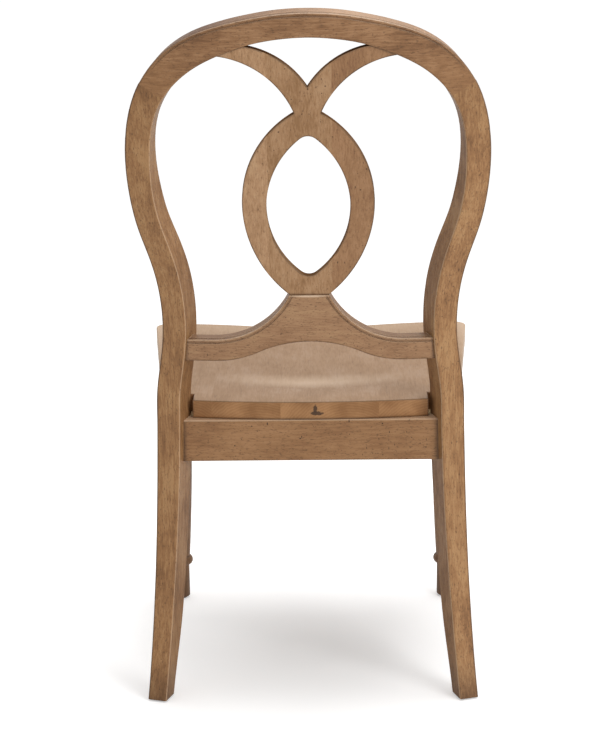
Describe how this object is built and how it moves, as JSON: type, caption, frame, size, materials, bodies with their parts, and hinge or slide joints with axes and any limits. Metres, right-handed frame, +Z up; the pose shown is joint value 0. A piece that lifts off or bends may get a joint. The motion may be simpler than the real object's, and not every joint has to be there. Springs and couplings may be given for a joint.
{
  "type": "side chair",
  "caption": "Wooden dining side chair with a waisted hoop back, a pierced oval splat on a shaped lower rail, a scooped plank seat, turned front legs and swept rear legs.",
  "frame": {"origin": "middle of the bounding box at floor level", "axes": "+Z up, the sitter faces -Y, +X is the sitter's left"},
  "size_m": [0.5126, 0.5444, 1.0129],
  "materials": {
    "stained_wood": "satin tan stain, worn, with a dark glaze in the corners and along the edges",
    "seat_wood": "the same stain, paler and more worn on the seat",
    "raw_wood": "unfinished, sanded",
    "screw_steel": "zinc plated",
    "glide_plastic": "dark brown nylon"
  },
  "bodies": {
    "root": {"crest_rail": "stained_wood", "lower_back_rail": "stained_wood", "left_rear_post": "stained_wood", "right_rear_post": "stained_wood", "left_front_leg": "stained_wood", "right_front_leg": "stained_wood", "splat_base": "stained_wood", "splat_neck": "stained_wood", "left_splat_side": "stained_wood", "right_splat_side": "stained_wood", "left_splat_arm": "stained_wood", "right_splat_arm": "stained_wood", "rear_apron": "stained_wood", "front_apron": "stained_wood", "left_side_apron": "stained_wood", "right_side_apron": "stained_wood", "seat_board_1": "seat_wood", "seat_board_2": "seat_wood", "seat_board_3": "seat_wood", "seat_board_4": "seat_wood", "seat_board_5": "seat_wood", "left_front_corner_block": "raw_wood", "right_front_corner_block": "raw_wood", "left_rear_corner_block": "raw_wood", "right_rear_corner_block": "raw_wood", "crest_dowels": "raw_wood", "back_rail_dowels": "raw_wood", "rear_apron_dowels": "raw_wood", "front_apron_dowels": "raw_wood", "side_apron_dowels": "raw_wood", "splat_dowels": "raw_wood", "corner_block_screws": "screw_steel", "seat_screws": "screw_steel", "left_front_glide": "glide_plastic", "right_front_glide": "glide_plastic", "left_rear_glide": "glide_plastic", "right_rear_glide": "glide_plastic"}
  },
  "joints": []
}
